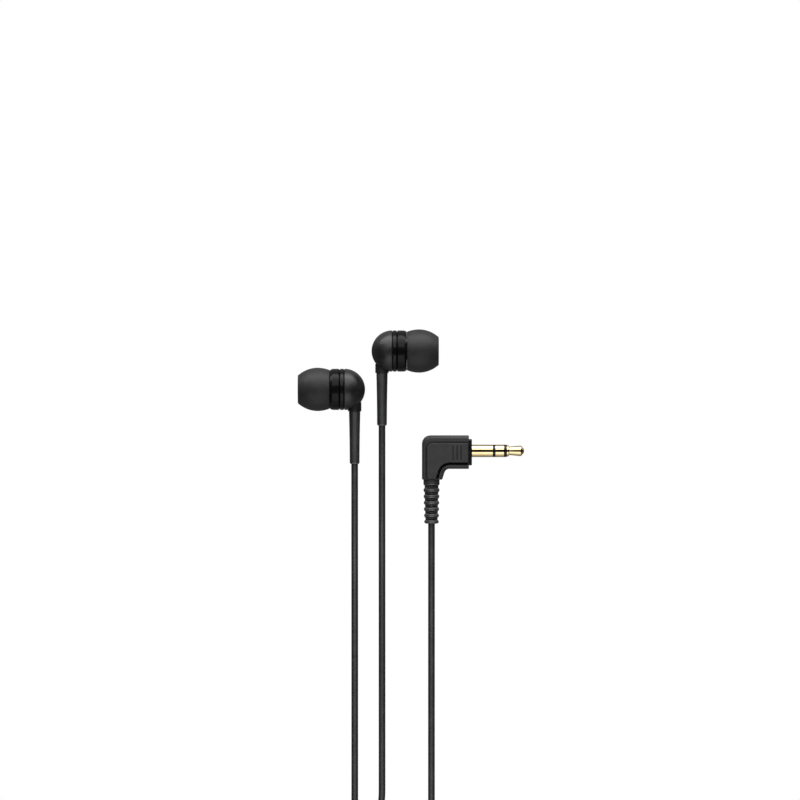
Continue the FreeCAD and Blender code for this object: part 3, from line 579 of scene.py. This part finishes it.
def turned_piece(node, corners, place, body="root", closed=True, segments=AROUND, finish=None):
    """A turned piece in place of a CAD node, in its slot's material or in another finish."""
    slot = slot_of[node]
    piece = lathe(node + "_shape", outline(corners, closed), place, MATERIALS[finish or slot],
                  closed, segments)
    return stand_for(piece, node, body)


def rear_shell(side):
    """A hollow dome with a tongue that the front shell takes, and the cord's boss."""
    _, place = ear_frame(side)
    inner, tongue_end, boss_start = DOME - WALL, 0.9, 3.6
    rim_radius = math.sqrt(DOME ** 2 - RIM_AT ** 2)
    dome = outline([
        (0, -DOME, 0, DOME, False), (rim_radius, RIM_AT - 0.02, 0.12), (5.55, 0.05, 0),
        (GROOVE, 0.05, 0), (GROOVE, tongue_end, 0.1),
        (inner, tongue_end, 0.1), (inner, 0, 0, inner, True), (0, -inner, 0)], closed=False)
    node = f"{side}_rear_shell"
    shell = lathe(node + "_shape", dome, place, MATERIALS["housing"], False,
                  FINE_AROUND)
    boss = lathe("boss", outline([
        (BOSS_HOLE, boss_start, 0), (BOSS, boss_start, 0), (BOSS, BOSS_END, 0.16),
        (BOSS_HOLE, BOSS_END, 0.05)]), stem_frame(side), MATERIALS["housing"])
    combine(shell, boss, "UNION")
    return stand_for(shell, node)


def ear_shells(side):
    """The front shell with its nozzle and barb, and the ring round the shell."""
    _, place = ear_frame(side)
    front, seat, hollow, barb_at = 4.1, 5.32, 5.52, 8.2
    turned_piece(f"{side}_front_shell", [
        (hollow, 0.07, 0), (5.56, 0.07, 0), (FRONT_SHELL, 0.25, 0.16), (FRONT_SHELL, 1.13, 0.14),
        (GROOVE, 1.34, 0), (5.3, 1.34, 0), (5.3, front, 0.1),
        (NOZZLE, front, 0.1), (NOZZLE, barb_at, 0), (BARB, barb_at, 0.06), (BARB, 8.8, 0.1),
        (2.35, NOZZLE_END, 0.08), (NOZZLE_HOLE, NOZZLE_END, 0.05),
        (NOZZLE_HOLE, 3.3, 0), (4.7, 3.3, 0), (4.7, 1.0, 0), (hollow, 1.0, 0)],
        place, segments=FINE_AROUND, finish="housing_gloss")
    turned_piece(f"{side}_trim_ring", [
        (seat, 1.37, 0), (GROOVE, 1.37, 0), (FRONT_SHELL, 1.57, 0.14), (FRONT_SHELL, 3.35, 0.25),
        (5.45, front, 0.12), (seat, front, 0)], place, segments=FINE_AROUND)


def ear_tip(side):
    """A core that holds the nozzle, and a thin skirt that comes back round it."""
    _, place = ear_frame(side)
    core_back, core_front, skirt_back, widest_at = 4.7, 9.8, 4.13, 7.55
    turned_piece(f"{side}_ear_tip", [
        (TIP_HOLE, core_back, 0.1), (TIP_CORE, core_back, 0.2), (TIP_CORE, 10.9, 0.4, 7.6, True),
        (5.5, widest_at, 0, 8.7, True), (4.75, 4.6, 0.2), (4.6, skirt_back, 0.2),
        (5.43, skirt_back, 0.22, 9.3, False), (6.1, widest_at, 0, 8.2, False),
        (4.2, 12.75, 0.2, 0.55, False), (3.6, TIP_FRONT, 0.1), (TIP_OPENING, TIP_FRONT, 0.25),
        (TIP_OPENING, core_front, 0.1), (TIP_HOLE, core_front, 0)],
        place, f"{side}_tip", segments=FINE_AROUND)


def nozzle_mesh(side):
    """Woven wires across the nozzle: each passes over and under those that it crosses."""
    _, place = ear_frame(side)
    disc, height, pitch, wire, wire_sides = 2.03, 9.27, 0.26, 0.05, 6
    count = int(disc / pitch)
    mesh = bmesh.new()
    for across in (0, 1):
        for row in range(-count, count + 1):
            half = math.sqrt(disc ** 2 - (row * pitch) ** 2)
            steps = max(4, 2 * round(half / pitch * 2))
            ring_before = None
            for i in range(steps + 1):
                along = -half + 2 * half * i / steps
                wave = math.cos(math.pi * (along / pitch + row + across)) * wire
                ring = []
                for k in range(wire_sides):
                    angle = 2 * math.pi * k / wire_sides
                    up = height + wave + wire * math.sin(angle)
                    spot = (along, row * pitch + wire * math.cos(angle), up)
                    ring.append(mesh.verts.new(spot if across else (spot[1], spot[0], up)))
                if ring_before:
                    for k in range(wire_sides):
                        j = (k + 1) % wire_sides
                        mesh.faces.new((ring_before[k], ring_before[j], ring[j], ring[k]))
                else:
                    mesh.faces.new(ring)
                ring_before = ring
            mesh.faces.new(ring_before)
    node = f"{side}_nozzle_mesh"
    piece = finish_mesh(node + "_shape", mesh, place, MATERIALS["steel_mesh"])
    return stand_for(piece, node)


def boot(side):
    """A long taper down the cord, with a spigot up into the boss."""
    spigot, spigot_start, end = 1.23, 4.6, 21.0
    turned_piece(f"{side}_boot", [
        (CORD_HOLE, spigot_start, 0), (spigot, spigot_start, 0), (spigot, BOSS_END, 0),
        (1.6, BOSS_END, 0.12, BOOT_CURVE, True), (1.38, 20.7, 0.06), (1.12, end, 0.06),
        (CORD_HOLE, end, 0.04)], stem_frame(side))


for side in SIDES:
    rear_shell(side)
    ear_shells(side)
    ear_tip(side)
    nozzle_mesh(side)
    boot(side)


# ---- plug -------------------------------------------------------------------------------------

# Places in the plug are counted from where the jack's axis meets the cord's axis.
PLUG_LEFT, PLUG_RIGHT, PLUG_TOP = -2.69, 10.52, 4.38
PLUG_LOW = -5.07                       # of the part that holds the jack
ARM_END, ARM_RIGHT = -8.11, 3.02       # of the arm that holds the cord
INNER_CORNER = 3.95                    # the L's inner corner, along the jack
HALF, RAISED = 2.9, 3.5                # half the thickness at the rim, and at the raised panels
COLLAR_END, BARREL = 11.37, 1.75       # the collar's front face, and the contacts' radius

# The grip grooves: how many, the first one's middle, their spacing and their half width.
GRIPS, GRIP_AT, GRIP_PITCH, GRIP_WIDE = 3, 6.05, 1.13, 0.15


def bend_centre():
    """Where the jack's axis meets the cord's axis."""
    relief_low, relief_high = millimetres("plug_strain_relief")
    jack_low, jack_high = millimetres("plug_sleeve")
    return Vector(((relief_low.x + relief_high.x) / 2, (jack_low.y + jack_high.y) / 2,
                   (jack_low.z + jack_high.z) / 2))


def plug_ring(inset, top_inset, low_inset, end_inset, corner=2.3):
    """The plug's L, anticlockwise from the arm's end, stood back from its sides and its ends.
    The arm narrows more than its end draws in, and the inner corner gets a larger rounding."""
    left, right, top = PLUG_LEFT + inset, PLUG_RIGHT - end_inset, PLUG_TOP - top_inset
    low, arm_end = PLUG_LOW + low_inset, ARM_END + end_inset
    arm_right = ARM_RIGHT + 0.3 * end_inset - 1.05 * low_inset
    return outline([
        (left, arm_end, 0.3), (arm_right, arm_end, 0.3),
        (INNER_CORNER - 0.74 * low_inset, low, 1.05 + 0.75 * low_inset),
        (right, low, 0.15), (right, top, 0.15), (left, top, corner)])


def panel_height(heights, point):
    """A layer has one height along the L's outer sides and one along its inner sides. The rim
    also rises towards the plug's top side, where the panel stands less high above it."""
    outer, inner = heights
    turn_from, turn_over = 2.4, 1.2         # in from the outer sides
    rise_from, rise_over, rise_share, below_panel = 0.5, 3, 0.16, 0.8
    in_from_outside = min(point.x - PLUG_LEFT, PLUG_TOP - point.y)
    inward = ease((in_from_outside - turn_from) / turn_over)
    height = outer + (inner - outer) * inward
    rise = abs(height) * rise_share * ease((point.y - rise_from) / rise_over)
    return height + math.copysign(min(rise, below_panel * (RAISED - abs(height))), height)


def plug_body():
    """Each face has a raised panel that runs out at both ends, in a rim with a round edge, and
    three grip grooves across the panel."""
    place = Matrix.Translation(bend_centre())
    wide, tall, steps = 0.9, 1.5, 8         # of the round edge
    low_share, end_share = 1.2, 0.3         # how far it reaches at the inner sides and the ends
    layers = []
    for i in range(steps + 1):
        angle = math.pi / 2 * i / steps
        inset = wide * (1 - math.cos(angle))
        height = HALF - tall * (1 - math.sin(angle))
        layers.append(((height, height),
                       plug_ring(inset, inset, inset * low_share, inset * end_share)))
    panel_top, panel_end, panel_corner = 0.75, 0.3, 1.6

    # How far back at the outer and the inner sides, and how high at each: along the rim, down
    # into the groove round the panel, and up onto the panel.
    for inset, low_inset, outer, inner in (
            (0.95, 1.12, HALF, HALF), (1.02, 1.19, HALF - 0.03, HALF - 0.08),
            (1.11, 1.26, HALF - 0.1, HALF - 0.45), (1.16, 1.32, HALF - 0.12, HALF - 0.55),
            (1.24, 1.68, HALF - 0.12, HALF - 0.55), (1.29, 1.76, HALF - 0.08, HALF - 0.45),
            (1.42, 1.83, RAISED - 0.2, RAISED - 0.2), (1.5, 1.88, RAISED - 0.06, RAISED - 0.06),
            (1.65, 2.0, RAISED, RAISED), (1.85, 2.15, RAISED, RAISED)):
        layers.append(((outer, inner), plug_ring(inset, inset + panel_top, low_inset, panel_end,
                                                 panel_corner)))
    both = [((-outer, -inner), points) for (outer, inner), points in layers[::-1]] + layers
    rubber = MATERIALS["plug_rubber"]
    body = stack("plug_body_shape", both, place, rubber, SHARP_PLUG, panel_height)
    low, high, turn, floor, clear = -2.5, 1.5, 0.14, 3.34, 3.8      # of a grip groove
    for side in (1, -1):
        for i in range(GRIPS):
            middle = GRIP_AT + GRIP_PITCH * i
            left, right = middle - GRIP_WIDE, middle + GRIP_WIDE
            groove = outline([(left, low, turn), (right, low, turn), (right, high, turn),
                              (left, high, turn)])
            cutter = stack("cutter", [(side * floor, groove), (side * clear, groove)], place,
                           rubber)
            combine(body, cutter, "DIFFERENCE")
    return stand_for(body, "plug_body")


def plug_collar():
    """The hard inner moulding: a block inside the plug and the collar that shows."""
    place = axis_place(bend_centre(), (1, 0, 0), (0, 0, 1))
    half_tall, half_thick, middle, turn = 3.71, 2.8, -0.37, 0.5

    def ring(inset):
        low, high = middle - half_tall + inset, middle + half_tall - inset
        thick = half_thick - inset
        return outline([(low, -thick, turn), (high, -thick, turn), (high, thick, turn),
                        (low, thick, turn)])

    layers = [(8.0, ring(0.8)), (10.15, ring(0.8)), (10.2, ring(0.0)), (11.15, ring(0.0)),
              (11.3, ring(0.05)), (COLLAR_END, ring(0.2))]
    collar = stack("plug_core_shape", layers, place, MATERIALS["moulding"],
                   SHARP_PLUG)
    return stand_for(collar, "plug_core")


def jack():
    """The three contacts, each on a tube or rod that runs back inside the one before it."""
    place = axis_place(bend_centre(), (1, 0, 0), (0, 1, 0))
    root, tube, rod, tip = 1.5, 0.8, 0.45, 1.58
    sleeve_hole, sleeve_back, sleeve_end = 1.17, 4.4, 17.3
    ring_hole, ring_back, ring_start, ring_end = 0.65, 3.2, 18.0, 20.44
    rod_back, tip_start, neck = 2.2, 21.2, 1.2
    turned_piece("plug_sleeve", [
        (sleeve_hole, sleeve_back, 0), (root, sleeve_back, 0.03), (root, COLLAR_END, 0),
        (BARREL, COLLAR_END, 0.03), (BARREL, sleeve_end, 0.06), (sleeve_hole, sleeve_end, 0)],
        place, segments=FINEST_AROUND)
    turned_piece("plug_ring", [
        (ring_hole, ring_back, 0), (tube, ring_back, 0), (tube, ring_start, 0),
        (BARREL, ring_start, 0.06), (BARREL, ring_end, 0.06), (ring_hole, ring_end, 0)],
        place, segments=FINEST_AROUND)
    turned_piece("plug_tip", [
        (0, rod_back, 0), (rod, rod_back, 0), (rod, tip_start, 0), (tip, tip_start, 0.06),
        (tip, 21.74, 0.08), (neck, 21.88, 0.04), (neck, 22.05, 0.04), (1.5, 25.2, 0.25),
        (0.6, 26.0, 0.15), (0, 26.1, 0)], place, closed=False, segments=FINEST_AROUND)


# The strain relief's radii shrink by the second number of each pair over its six ribs.
RIBS = 6
RIB_START, RIB_PITCH, RIB_LONG = 10.5, 1.79, 1.1
RELIEF_END = RIB_START + (RIBS - 1) * RIB_PITCH + RIB_LONG
RIB, RIB_SHRINK = 2.25, 0.25
SLOT, SLOT_SHRINK = 1.95, 0.3
BEAD_REACH, BEAD_SHRINK = 1.88, 0.25
BEAD_WIDE, BEAD_LONG = 0.52, 0.26      # half of each
BEAD_FOOT = 1.1                        # inside the ribs' core


def relief_profile():
    """A spigot up into the plug, a collar under the plug's end, and the ribs."""
    spigot, spigot_start, collar = 1.48, 6.4, 2.275
    corners = [(CORD_HOLE, spigot_start, 0), (spigot, spigot_start, 0), (spigot, -ARM_END, 0),
               (collar, -ARM_END, 0.12), (collar, 9.62, 0.25), (SLOT, 9.7, 0.15)]
    for i in range(RIBS):
        start = RIB_START + RIB_PITCH * i
        slot = SLOT - SLOT_SHRINK * i / RIBS
        rib = RIB - RIB_SHRINK * i / RIBS
        corners += [(slot, start - 0.02, 0.1), (rib, start + 0.14, 0.36),
                    (rib, start + 0.96, 0.36)]
        if i < RIBS - 1:
            corners.append((slot, start + RIB_LONG + 0.02, 0.1))
    corners.append((CORD_HOLE, RELIEF_END, 0.1))
    return outline(corners)


def slot_depth(radius, along):
    """The slots between the ribs are cut deeper front and back than at the sides."""
    first_slot, last_slot, hole = 9.6, RELIEF_END - 0.5, 1
    steepness, deepest, spared = 2.8, 0.32, 0.08
    rib = RIB - RIB_SHRINK * (along - RIB_START) / (RELIEF_END - RIB_START)
    if not first_slot < along < last_slot or radius < hole:
        return radius
    return radius - steepness * max(0.0, min(rib - radius, deepest) - spared)


def strain_relief():
    """The ribbed tail, with a bead front and back in the middle of each slot."""
    centre = bend_centre()
    place = axis_place(centre, (0, -1, 0), (0, 0, 1))
    material = MATERIALS["relief_rubber"]
    tail = lathe("plug_strain_relief_shape", relief_profile(), place, material,
                 flatten=slot_depth)
    for i in range(RIBS):
        along = RIB_START + RIB_PITCH * i - (RIB_PITCH - RIB_LONG) / 2
        reach = BEAD_REACH - BEAD_SHRINK * i / RIBS
        layers = []
        for share, inset in ((0, 0.14), (0.04, 0.05), (0.1, 0)):
            wide, long = BEAD_WIDE - inset, BEAD_LONG - inset
            turn = long * 0.9
            layers.append((reach * (1 - share), outline([
                (-wide, -along - long, turn), (wide, -along - long, turn),
                (wide, -along + long, turn), (-wide, -along + long, turn)])))
        foot = [(BEAD_FOOT, layers[-1][1])]
        for up in (1, -1):
            bead = stack("bead", [(up * height, points) for height, points in foot + layers[::-1]],
                         Matrix.Translation(centre), material)
            combine(tail, bead, "UNION")
    return stand_for(tail, "plug_strain_relief")


plug_body()
plug_collar()
jack()
strain_relief()


# ---- splitter and ties ------------------------------------------------------------------------

def splitter():
    """A flat moulding that narrows to the trunk, with rounded sections along its length."""
    low, high = millimetres("splitter_body")
    middle = Vector(((low.x + high.x) / 2, high.y, (low.z + high.z) / 2))
    place = axis_place(middle, (0, -1, 0), (0, 0, 1))
    length = high.y - low.y
    wide, tall, neck = (high.x - low.x) / 2, (high.z - low.z) / 2, 1.6
    end_share, end_round, narrow_from, narrow_over = 0.03, 0.3, 0.35, 0.6
    layers = []
    for share in (0, 0.01, 0.03, 0.1, 0.3, 0.45, 0.55, 0.65, 0.75, 0.85, 0.93, 0.98, 1):
        end = min(share, 1 - share) / end_share
        shrink = end_round * (1 - math.sqrt(1 - (1 - min(end, 1)) ** 2))
        narrow = ease((share - narrow_from) / narrow_over)
        across = wide + (neck - wide) * narrow - shrink
        up = tall + (neck - tall) * narrow - shrink
        turn = min(across, up) * 0.65
        layers.append((length * share, outline([
            (-across, -up, turn), (across, -up, turn), (across, up, turn), (-across, up, turn)])))
    body = stack("splitter_shape", layers, place, MATERIALS["boot"], SHARP_SPLITTER)
    return stand_for(body, "splitter_body")


def tie(name, node):
    """A band round the coil's turns, on the floor and just inside its CAD solid."""
    low, high = millimetres(node)
    thick, lift, below_top, narrower, turn, inner_turn = 0.45, 0.05, 0.5, 0.1, 0.9, 0.5
    middle = (low + high) / 2
    place = axis_place(Vector((middle.x, middle.y, 0)), (0, 1, 0), (0, 0, 1))
    across, tall = (high.x - low.x) / 2, high.z - below_top
    half = (high.y - low.y) / 2 - narrower

    def ring(inset, rounding):
        a, b = across - inset, tall - inset
        return outline([(-a, inset + lift, rounding), (a, inset + lift, rounding),
                        (a, b, rounding), (-a, b, rounding)])

    outer, inner = ring(0, turn), ring(thick, inner_turn)
    mesh = bmesh.new()
    rows = []
    for points, depth in ((outer, -half), (outer, half), (inner, half), (inner, -half)):
        rows.append([mesh.verts.new((p.x, p.y, depth)) for p in points])
    for a, b in zip(rows, rows[1:] + rows[:1]):
        for i in range(len(a)):
            j = (i + 1) % len(a)
            mesh.faces.new((a[i], a[j], b[j], b[i]))
    band = finish_mesh(name, mesh, place, MATERIALS["tie"])
    return stand_for(band, node)


splitter_piece = splitter()
branch_tie = tie("branch_tie_shape", "branch_tie")
trunk_tie = tie("main_tie_shape", "main_tie")

# ---- floor, lights and background -------------------------------------------------------------

FLOOR_SIZE, FLOOR_BELOW = 6000, 0.05
PANEL_AWAY = 0.6                       # from the middle of the view, in metres
FAR_GLOW, NEAR_GLOW, GLOW = 0.32, 0.22, 0.008     # radiance of the table's sides and all round

# Tilt from straight above towards +Y in degrees, width in metres, angle covered, radiance.
PANELS = {
    "upper_strip": (81, 1.8, 26, 4.4),
    "middle_strip": (57, 1.0, 22, 2.5),
    "upper_panel": (34, 0.7, 22, 2.0),
    "lower_panel": (-34, 0.7, 22, 1.5),
    "lower_strip": (-57, 0.8, 22, 1.3),
    "low_strip": (-84, 0.8, 30, 0.6),
}


def camera_only(piece):
    """Seen by the camera, and neither lights the object nor shades it."""
    piece.visible_diffuse = False
    piece.visible_glossy = False
    piece.visible_transmission = False
    piece.visible_shadow = False


def add_floor():
    """A plain white ground that gives off its own light to the camera alone."""
    material, tree, shader = node_tree("floor")
    shader.inputs["Base Color"].default_value = (0, 0, 0, 1)
    shader.inputs["Specular IOR Level"].default_value = 0.0
    shader.inputs["Emission Color"].default_value = (1, 1, 1, 1)
    shader.inputs["Emission Strength"].default_value = 1.0
    mesh = bmesh.new()
    bmesh.ops.create_grid(mesh, x_segments=1, y_segments=1, size=FLOOR_SIZE)
    floor = finish_mesh("floor", mesh, Matrix.Identity(4), material)
    floor.location.z = -FLOOR_BELOW * MM
    camera_only(floor)


def add_panel(name, tilt, wide, span, radiance):
    """A soft light panel, whose middle is tilted from straight above."""
    data = bpy.data.lights.new(name, "AREA")
    data.shape = "RECTANGLE"
    data.size = wide
    data.size_y = 2 * PANEL_AWAY * math.tan(math.radians(span / 2))
    data.energy = radiance * math.pi * data.size * data.size_y
    light = bpy.data.objects.new(name, data)
    bpy.context.scene.collection.objects.link(light)
    turn = Matrix.Rotation(-math.radians(tilt), 4, "X")
    light.matrix_world = (Matrix.Translation(VIEW_AT) @ turn
                          @ Matrix.Translation((0, 0, PANEL_AWAY)))
    light.visible_camera = False


def add_world():
    """Dark above. Below, a pale table throws light back from its far and near sides."""
    world = bpy.data.worlds.new("studio")
    bpy.context.scene.world = world
    world.use_nodes = True
    tree = world.node_tree
    place = tree.nodes.new("ShaderNodeTexCoord")
    split = tree.nodes.new("ShaderNodeSeparateXYZ")
    tree.links.new(place.outputs["Generated"], split.inputs["Vector"])
    below = ranged(tree, split.outputs["Z"], 1.0, 0.0, -0.25, 0.0)
    far = ranged(tree, split.outputs["Y"], 0.0, FAR_GLOW, 0.05, 0.4)
    near = ranged(tree, split.outputs["Y"], NEAR_GLOW, 0.0, -0.6, -0.05)
    table = add_node(tree, "ShaderNodeMath", operation="ADD")
    tree.links.new(far, table.inputs[0])
    tree.links.new(near, table.inputs[1])
    strength = add_node(tree, "ShaderNodeMath", operation="MULTIPLY")
    tree.links.new(table.outputs["Value"], strength.inputs[0])
    tree.links.new(below, strength.inputs[1])
    around = add_node(tree, "ShaderNodeMath", operation="ADD")
    around.inputs[1].default_value = GLOW
    tree.links.new(strength.outputs["Value"], around.inputs[0])
    tree.links.new(around.outputs["Value"], tree.nodes["Background"].inputs["Strength"])
    tree.nodes["Background"].inputs["Color"].default_value = (1, 1, 1, 1)


add_floor()
add_world()
for panel, values in PANELS.items():
    add_panel(panel, *values)
bpy.context.scene.view_settings.view_transform = "Standard"
